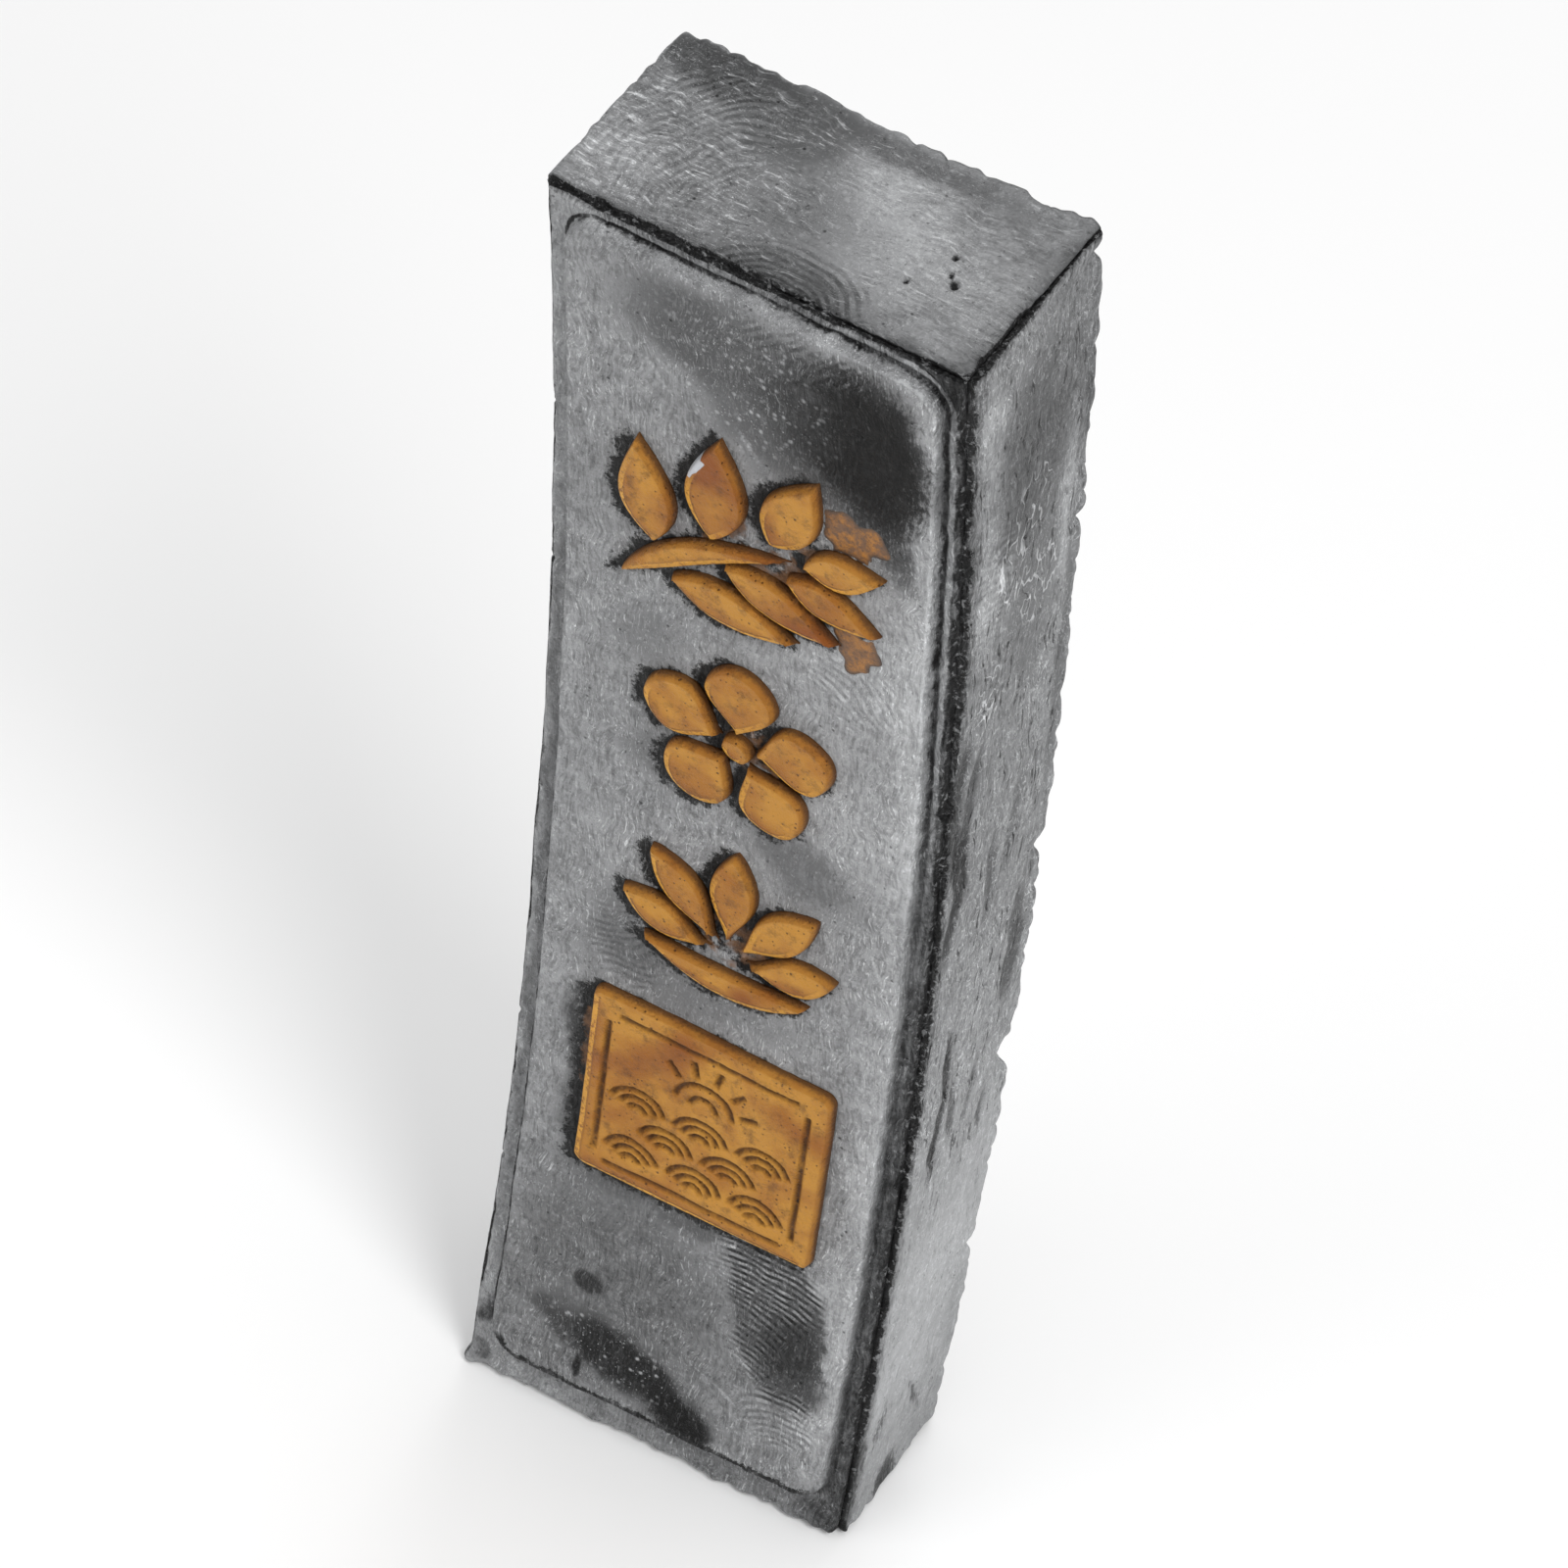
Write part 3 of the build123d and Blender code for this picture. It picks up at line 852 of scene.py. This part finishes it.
class Look:
    """A material whose nodes are added by short calls. Most values run from 0 to 1."""

    def __init__(self, name):
        self.material = bpy.data.materials.new(name)
        self.material.use_nodes = True
        self.tree = self.material.node_tree
        self.tree.nodes.clear()

    def node(self, kind, inputs, **settings):
        made = self.tree.nodes.new(kind)
        for name, value in settings.items():
            setattr(made, name, value)
        for place, value in inputs.items():
            if isinstance(value, bpy.types.NodeSocket):
                self.tree.links.new(value, made.inputs[place])
            else:
                made.inputs[place].default_value = value
        return made

    def read(self, field):
        return self.node("ShaderNodeAttribute", {}, attribute_name=field).outputs["Fac"]

    @cached_property
    def place(self):
        """The place on the straight stick, in millimetres."""
        return self.node("ShaderNodeAttribute", {}, attribute_name="straight").outputs["Vector"]

    @cached_property
    def bent(self):
        """The place moved by a slow wander, to bend straight streaks."""
        inputs = {"Vector": self.place, "Scale": 0.35, "Detail": 2.0}
        colour = self.node("ShaderNodeTexNoise", inputs).outputs[1]
        centred = self.node("ShaderNodeVectorMath", {0: colour, 1: (0.5, 0.5, 0.5)}, operation="SUBTRACT")
        moved = {0: centred.outputs[0], "Scale": BEND}
        wander = self.node("ShaderNodeVectorMath", moved, operation="SCALE").outputs[0]
        return self.node("ShaderNodeVectorMath", {0: self.place, 1: wander}).outputs[0]

    def math(self, operation, *values):
        return self.node("ShaderNodeMath", dict(enumerate(values)), operation=operation).outputs[0]

    def add(self, *values):
        return reduce(partial(self.math, "ADD"), values)

    def times(self, *values):
        return reduce(partial(self.math, "MULTIPLY"), values)

    def most(self, *values):
        return reduce(partial(self.math, "MAXIMUM"), values)

    def weighed(self, *pairs):
        """The sum of values, each times its weight."""
        return self.add(*(self.times(value, weight) for value, weight in pairs))

    def spread(self, value, low, high, start=0.0, end=1.0):
        """The value's run from low to high, as start to end, and no further."""
        inputs = {0: value, 1: low, 2: high, 3: start, 4: end}
        return self.node("ShaderNodeMapRange", inputs, clamp=True).outputs[0]

    def band(self, value, middle, half, soft):
        """1 where the value is near the middle, fading to 0 over the soft part beyond."""
        away = self.math("ABSOLUTE", self.add(value, -middle))
        return self.spread(away, half + soft, half)

    def between(self, weight, first, second):
        """The first number where the weight is 0, the second where it is 1."""
        return self.node("ShaderNodeMix", {0: weight, 2: first, 3: second}).outputs[0]

    def blend(self, weight, first, second):
        """The same for colours."""
        inputs = {0: weight, 6: first, 7: second}
        return self.node("ShaderNodeMix", inputs, data_type="RGBA").outputs[2]

    def noise(self, scale, detail=3.0, roughness=0.55, place=None):
        inputs = {"Vector": place or self.place, "Scale": scale, "Detail": detail, "Roughness": roughness}
        return self.node("ShaderNodeTexNoise", inputs).outputs[0]

    def streaks(self, scales, turn, detail, roughness):
        """Noise with its own scale along each axis, turned by degrees about each."""
        inputs = {"Vector": self.bent, "Scale": scales, "Rotation": [math.radians(a) for a in turn]}
        return self.noise(1.0, detail, roughness, self.node("ShaderNodeMapping", inputs).outputs[0])

    def dots(self, scale, radius, share):
        """Soft round dots, one in a share of the cells of a loose lattice."""
        cell = self.node("ShaderNodeTexVoronoi", {"Vector": self.place, "Scale": scale})
        picked = self.node("ShaderNodeSeparateColor", {0: cell.outputs["Color"]}).outputs[0]
        dot = self.spread(cell.outputs["Distance"], radius, radius * 0.4)
        return self.times(dot, self.math("LESS_THAN", picked, share))

    def finish(self, colour, roughness, height, **others):
        """The finished material. The height is its bump, in millimetres."""
        bump = self.node("ShaderNodeBump", {"Height": height, "Distance": MM, "Strength": 1.0})
        inputs = {"Base Color": colour, "Roughness": roughness, "Normal": bump.outputs[0]}
        inputs.update(others)
        shader = self.node("ShaderNodeBsdfPrincipled", inputs)
        self.node("ShaderNodeOutputMaterial", {0: shader.outputs[0]})
        return self.material


def grey_colour(look, tone):
    """The colour of a tone as it looks in an ordinary picture, very slightly blue."""
    light = look.math("POWER", look.most(tone, 0.02), 2.2)
    inputs = {0: look.times(light, 0.985), 1: light, 2: look.times(light, 1.02)}
    return look.node("ShaderNodeCombineColor", inputs).outputs[0]


def ink_marks(look):
    """The fine marks all over the ink, by name."""
    dots = look.most(look.dots(1.7, 0.3, 0.85), look.dots(5.0, 0.3, 0.4))
    return SimpleNamespace(
        cloud=look.add(look.noise(0.8, 5.0, 0.6), -0.5),
        grain=look.add(look.noise(2.0, 6.0, 0.78), -0.5),
        crumbs=look.add(look.noise(5.0, 4.0, 0.8), -0.5),
        # painted highlights: small glossy light flecks
        highlight_flecks=look.spread(look.noise(3.8, 3.0, 0.6), 0.62, 0.69),
        dark_flecks=look.spread(look.noise(2.8, 4.0, 0.7), 0.37, 0.29),
        # glossy specks, strongest in the dark smudges, as painted highlights
        specks=look.times(dots, look.read("highlight_specks")),
        pores=look.dots(1.15, 0.12, 0.3),
    )


def ink_streaks(look):
    """The marks that run along the stick, or across its ends, by name."""
    streaky, ends = look.read("streaky"), look.read("ends")
    patches = look.spread(look.noise(0.22, 2.0), 0.38, 0.54)
    hair = look.streaks((6.0, 6.0, 0.55), (0, 12, 0), 3.0, 0.7)
    fine_hair = look.streaks((11.0, 11.0, 1.0), (0, 16, 0), 2.0, 0.6)
    across = look.streaks((0.7, 5.0, 5.0), (0, 0, 25), 3.0, 0.7)
    long = look.streaks((2.6, 2.6, 0.22), (3, 2, 0), 5.0, 0.72)
    curly = look.streaks((1.7, 1.7, 0.8), (0, 0, 0), 2.0, 0.5)
    creased = look.streaks((0.8, 1.5, 0.6), (40, 0, 0), 1.0, 0.4)
    worm_share = look.add(look.times(patches, 0.35), streaky)
    wrinkled = look.spread(look.read("wrinkled"), 0.2, 0.5)
    return SimpleNamespace(
        hair=look.add(look.between(ends, hair, across), -0.5),
        light_hair=look.times(look.spread(fine_hair, 0.59, 0.68), patches),
        light_across=look.times(look.spread(across, 0.6, 0.66), ends),
        gouges=look.times(look.spread(long, 0.41, 0.33), streaky),
        ribs=look.times(look.spread(long, 0.58, 0.66), streaky),
        worms=look.times(look.band(curly, 0.5, 0.004, 0.01), worm_share),
        wrinkles=look.times(look.band(creased, 0.5, 0.016, 0.014), wrinkled),
    )


def ink_ridges(look):
    """The finger prints' ridges, from -1 to 1, broken here and there."""
    crisp = look.spread(look.math("SINE", look.read("ridge")), -0.55, 0.45, -1.0, 1.0)
    broken = look.spread(look.noise(1.5, 4.0, 0.7), 0.4, 0.56, 0.1, 1.0)
    return look.times(crisp, broken, look.read("ridges"))


def ink_edges(look, marks, hair):
    """The lines and cracks along the panel's foot, the seams and the strokes, the painted shade and grime
    beside them, a painted highlight on the ledge's rib and the panel's wall, and painted glints in the
    seams, by name.
    """
    axes = look.node("ShaderNodeSeparateXYZ", {0: look.place}).outputs
    right = look.spread(axes[0], 2.0, 9.0)
    upper = look.spread(axes[2], 46.0, 60.0, 0.25, 1.0)
    lowest = look.spread(axes[2], 3.9, 3.2)
    strong = look.spread(look.noise(0.33, 3.0), 0.4, 0.52)
    never_weak = look.spread(strong, 0, 1, 0.6, 1.0)

    inset = look.add(look.read("inset"), look.weighed((marks.grain, 0.25), (marks.cloud, 0.25)))
    torn = look.add(inset, look.weighed((marks.cloud, 0.7), (marks.crumbs, 0.9)))
    left_or_upper = look.most(upper, look.spread(right, 0, 1, 1.0, 0.0))
    # painted shade: a dark line at the foot of the panel's wall, on the left and in the upper part, with
    # a slight groove
    foot = look.times(look.band(inset, -0.06, 0.06, 0.06), never_weak, left_or_upper)
    tear = look.times(look.band(torn, 0.42, 0.16, 0.06), lowest, never_weak)
    crack = look.times(look.band(inset, -0.62, 0.04, 0.07), look.spread(strong, 1, 0), right, upper)

    gap = look.add(look.read("seam_gap"), look.weighed((marks.cloud, 0.35), (marks.grain, 0.3)))
    seam = look.spread(gap, 0.66, 0.56)
    # painted shade: a soft dark falloff beside the seams
    seam_shade_fringe = look.times(look.spread(look.add(gap, look.times(hair, 1.4)), 1.3, 0.4), 0.6)
    shade = look.weighed((marks.grain, 1.9), (marks.crumbs, 1.2), (marks.cloud, 1.7))
    # painted shadow and grime in the lee of the strokes, down and left of them, away from the key light
    lee = look.spread(look.add(look.read("lee"), shade), -0.42, -0.12)
    return SimpleNamespace(
        foot=foot,
        crack=crack,
        # painted highlight on the thin rib of the ledge, on the right and in the upper part
        rib_highlight=look.times(look.band(inset, -0.36, 0.12, 0.06), right, upper),
        # painted light on the panel's wall at its right and upper rim, lifting the shade it is in
        wall=look.times(look.band(inset, 0.26, 0.05, 0.05), right, upper),
        # painted glints in the seams
        seam_glints=look.times(look.spread(look.noise(2.4, 4.0, 0.6), 0.57, 0.62), seam),
        shade_cracks_and_grime=look.most(lee, foot, tear, crack, seam, seam_shade_fringe),
    )


def ink():
    """Dry pressed soot: dull grey, grained, streaked along its length, with prints, grime, painted shade
    and painted highlights.
    """
    look = Look("ink")
    marks = ink_marks(look)
    streaks = ink_streaks(look)
    ridges = ink_ridges(look)
    edges = ink_edges(look, marks, streaks.hair)

    ragged = look.weighed(
        (marks.cloud, 0.9), (marks.grain, 1.2), (marks.crumbs, 0.9), (streaks.hair, 1.9), (ridges, -0.42)
    )
    smudge = look.spread(look.add(look.read("dirt_and_shade"), ragged), 0.25, 0.8)
    dark = look.between(edges.shade_cracks_and_grime, look.read("dark"), 0.12)
    base = look.between(look.most(smudge, edges.shade_cracks_and_grime), look.read("tone"), dark)
    loud = look.spread(look.read("calm"), 0, 1, 1.0, 0.25)
    calmed = look.weighed(
        (marks.grain, 0.32), (streaks.hair, 0.5), (streaks.light_hair, 0.22),
        (streaks.light_across, 0.18), (marks.highlight_flecks, 0.12),
    )
    # These include painted highlights: on the ledge's rib and the panel's wall, glints in the seams, and
    # glossy specks.
    everywhere = look.weighed(
        (marks.cloud, 0.22), (marks.crumbs, 0.26), (marks.dark_flecks, -0.16),
        (streaks.gouges, -0.38), (streaks.ribs, 0.26), (edges.rib_highlight, 0.2), (edges.wall, 0.07),
        (streaks.worms, 0.16), (streaks.wrinkles, 0.28), (edges.seam_glints, 0.3), (ridges, 0.1),
        (marks.specks, 0.42), (marks.pores, -0.2),
    )
    tone = look.add(base, look.times(loud, calmed), everywhere)

    # Brown stains where the paint ran
    mottled = look.spread(look.noise(1.9, 4.0), 0.35, 0.65)
    brown = look.blend(mottled, BROWN_DARK, BROWN_LIGHT)
    spill = look.add(look.read("spill"), look.weighed((marks.cloud, 2.2), (marks.grain, 0.8)))
    patchy = look.spread(look.noise(0.6, 3.0), 0.42, 0.5)
    stain = look.times(look.spread(spill, 0.55, 0.2), patchy, 0.8)
    colour = look.blend(stain, grey_colour(look, tone), brown)

    height = look.weighed(
        (marks.grain, 0.08), (marks.crumbs, 0.06), (streaks.hair, 0.1),
        (streaks.gouges, -0.1), (streaks.wrinkles, 0.08), (streaks.ribs, 0.06),
        (streaks.light_hair, 0.02), (edges.foot, -0.1), (edges.crack, -0.08),
        (edges.rib_highlight, 0.05), (edges.seam_glints, 0.12), (ridges, 0.02), (marks.specks, 0.04),
        (marks.pores, -0.05), (look.times(marks.crumbs, look.read("rough")), 0.12),
    )
    roughness = look.spread(look.add(marks.grain, marks.crumbs), -0.25, 0.25, 0.4, 0.66)
    return look.finish(colour, roughness, height, **{"Specular IOR Level": 0.18})


def gold():
    """Gold paint: satin, deeper at its lower edges and in its grooves, pitted, with painted glints and
    painted shade lines.
    """
    look = Look("gold_paint")
    depth = look.read("depth")
    lower = look.read("lower")
    soft = look.noise(0.45, 3.0)
    slow = look.noise(0.16, 2.0)
    grain = look.add(look.noise(5.0, 5.0, 0.7), -0.5)

    def frayed(amount):
        return look.add(depth, look.times(grain, amount))

    # The paint's colour, deeper towards the lower edges and the rim
    flat = look.blend(look.spread(look.add(soft, slow, -0.5), 0.38, 0.6), GOLD_DEEP, GOLD_PALE)
    shade = look.spread(frayed(0.35), 0.25, 1.6, 1.0, 0.0)
    rim = look.spread(frayed(0.2), 0.05, 0.3, 1.0, 0.0)
    edge = look.most(look.times(shade, lower, 0.8), look.times(rim, 0.45), look.spread(slow, 0.46, 0.31))
    colour = look.blend(edge, flat, GOLD_EDGE)

    # Dark pits, grime, grooves, the painted shade line above the lower edge and the foot of the wall
    pits = look.most(look.dots(1.6, 0.15, 0.5), look.dots(3.1, 0.2, 0.45))
    grime = look.spread(look.noise(1.1, 6.0, 0.8), 0.51, 0.66)
    filth = look.spread(look.noise(2.4, 4.0, 0.7), 0.35, 0.5, 0.5, 0.95)
    groove = look.times(look.read("groove"), filth)
    lip_shade = look.times(look.band(frayed(0.12), 0.54, 0.03, 0.05), lower)
    foot = look.spread(frayed(0.1), 0.02, 0.08, 0.8, 0.0)
    dark = look.most(look.times(pits, 0.9), look.times(grime, 0.55), groove, foot, look.times(lip_shade, 0.6))
    colour = look.blend(dark, colour, GOLD_DARK)

    # Painted glints along the lower edges, and the chip
    lit = look.times(look.band(frayed(0.15), 0.31, 0.14, 0.04), lower)
    painted_glint = look.times(lit, look.spread(look.noise(2.6, 4.0, 0.75), 0.42, 0.48))
    colour = look.blend(painted_glint, colour, GOLD_PAINTED_GLINT)
    chipped = look.spread(look.add(look.read("chip"), look.times(grain, 0.6)), 0.45, 0.55)
    colour = look.blend(chipped, colour, CHIP)
    height = look.weighed((grain, 0.15), (pits, -0.08), (groove, -0.03), (chipped, -0.12))
    roughness = look.add(look.spread(soft, 0.3, 0.7, 0.36, 0.5), look.times(painted_glint, -0.14))
    return look.finish(colour, roughness, height, Metallic=0.35, **{"Specular IOR Level": 0.4})


def smear():
    """Paint that ran thin over the ink: brown to grey, with ragged patches of gold."""
    look = Look("paint_smear")
    patches = look.spread(look.noise(1.5, 5.0, 0.72), 0.44, 0.62)
    specks = look.spread(look.noise(4.5, 4.0, 0.75), 0.5, 0.68)
    rim = look.spread(look.read("depth"), 0.0, 0.3, 0.85, 0.0)
    colour = look.blend(look.noise(2.2, 4.0), BROWN_DARK, BROWN_LIGHT)
    colour = look.blend(look.times(patches, 0.75), colour, GOLD_DEEP)
    colour = look.blend(look.times(specks, 0.75), colour, SOOT)
    colour = look.blend(rim, colour, SOOT)
    height = look.weighed((patches, 0.03), (look.noise(7.0, 4.0), 0.05))
    return look.finish(colour, look.spread(patches, 0, 1, 0.6, 0.45), height, Metallic=0.15)


def paper():
    """The floor's plain pale sheet."""
    return Look("floor_paper").finish(PAPER, 0.9, 0.0)


# ---- light, floor and camera

def heading(azimuth, elevation):
    """The way from the stick to something round it. Azimuth 0 is its front, 90 its right."""
    a, e = math.radians(azimuth), math.radians(elevation)
    return Vector((math.sin(a) * math.cos(e), -math.cos(a) * math.cos(e), math.sin(e)))


def area_light(name, size, power, azimuth, elevation, distance):
    """A soft round lamp, placed round the stick in degrees and millimetres."""
    lamp = bpy.data.lights.new(name, "AREA")
    lamp.shape = "DISK"
    lamp.size = size * MM
    lamp.energy = power
    placed = bpy.data.objects.new(name, lamp)
    back = heading(azimuth, elevation)
    placed.location = (LAMP_AIM + back * distance) * MM
    placed.rotation_euler = (-back).to_track_quat("-Z", "Y").to_euler()
    bpy.context.collection.objects.link(placed)


def studio():
    """The pale floor, the lamps and the light from all round."""
    world = bpy.data.worlds.new("studio")
    world.use_nodes = True
    background = world.node_tree.nodes["Background"]
    background.inputs["Color"].default_value = (1, 1, 1, 1)
    background.inputs["Strength"].default_value = WORLD
    bpy.context.scene.world = world
    for lamp in LAMPS:
        area_light(*lamp)
    reach = FLOOR * MM
    corners = [(-reach, -reach, 0), (reach, -reach, 0), (reach, reach, 0), (-reach, reach, 0)]
    mesh = bpy.data.meshes.new("floor")
    mesh.from_pydata(corners, [], [(0, 1, 2, 3)])
    mesh.materials.append(paper())
    floor = bpy.data.objects.new("floor", mesh)
    floor.location.z = -FLOOR_DROP * MM
    bpy.context.collection.objects.link(floor)


def camera():
    """The photo's own view of the stick, worked out from its edges and corners."""
    data = bpy.data.cameras.new("camera")
    data.lens = LENS
    back = heading(*CAMERA_VIEW)
    right = Vector((-back.y, back.x, 0)).normalized()
    up = back.cross(right)
    cosine, sine = math.cos(math.radians(CAMERA_ROLL)), math.sin(math.radians(CAMERA_ROLL))
    turn = Matrix((right * cosine + up * sine, up * cosine - right * sine, back)).transposed()
    place = Matrix.Translation((Vector(CAMERA_AIM) + back * CAMERA_DISTANCE) * MM)
    placed = bpy.data.objects.new("camera", data)
    placed.matrix_world = place @ turn.to_4x4()
    bpy.context.collection.objects.link(placed)
    bpy.context.scene.camera = placed


# ---- the scene

films = {name: top_loops(node) for name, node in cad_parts.items() if name != "ink_block"}
materials = {"ink": ink(), "gold_paint": gold(), "paint_smear": smear()}
build("ink_stick", "ink_block", block_surface(films), materials["ink"])
for name, loops in films.items():
    slot = "paint_smear" if name in SMEARS else "gold_paint"
    build(name + "_paint", name, film_mesh(name, loops), materials[slot])
studio()
camera()
bpy.context.scene.view_settings.view_transform = "Standard"
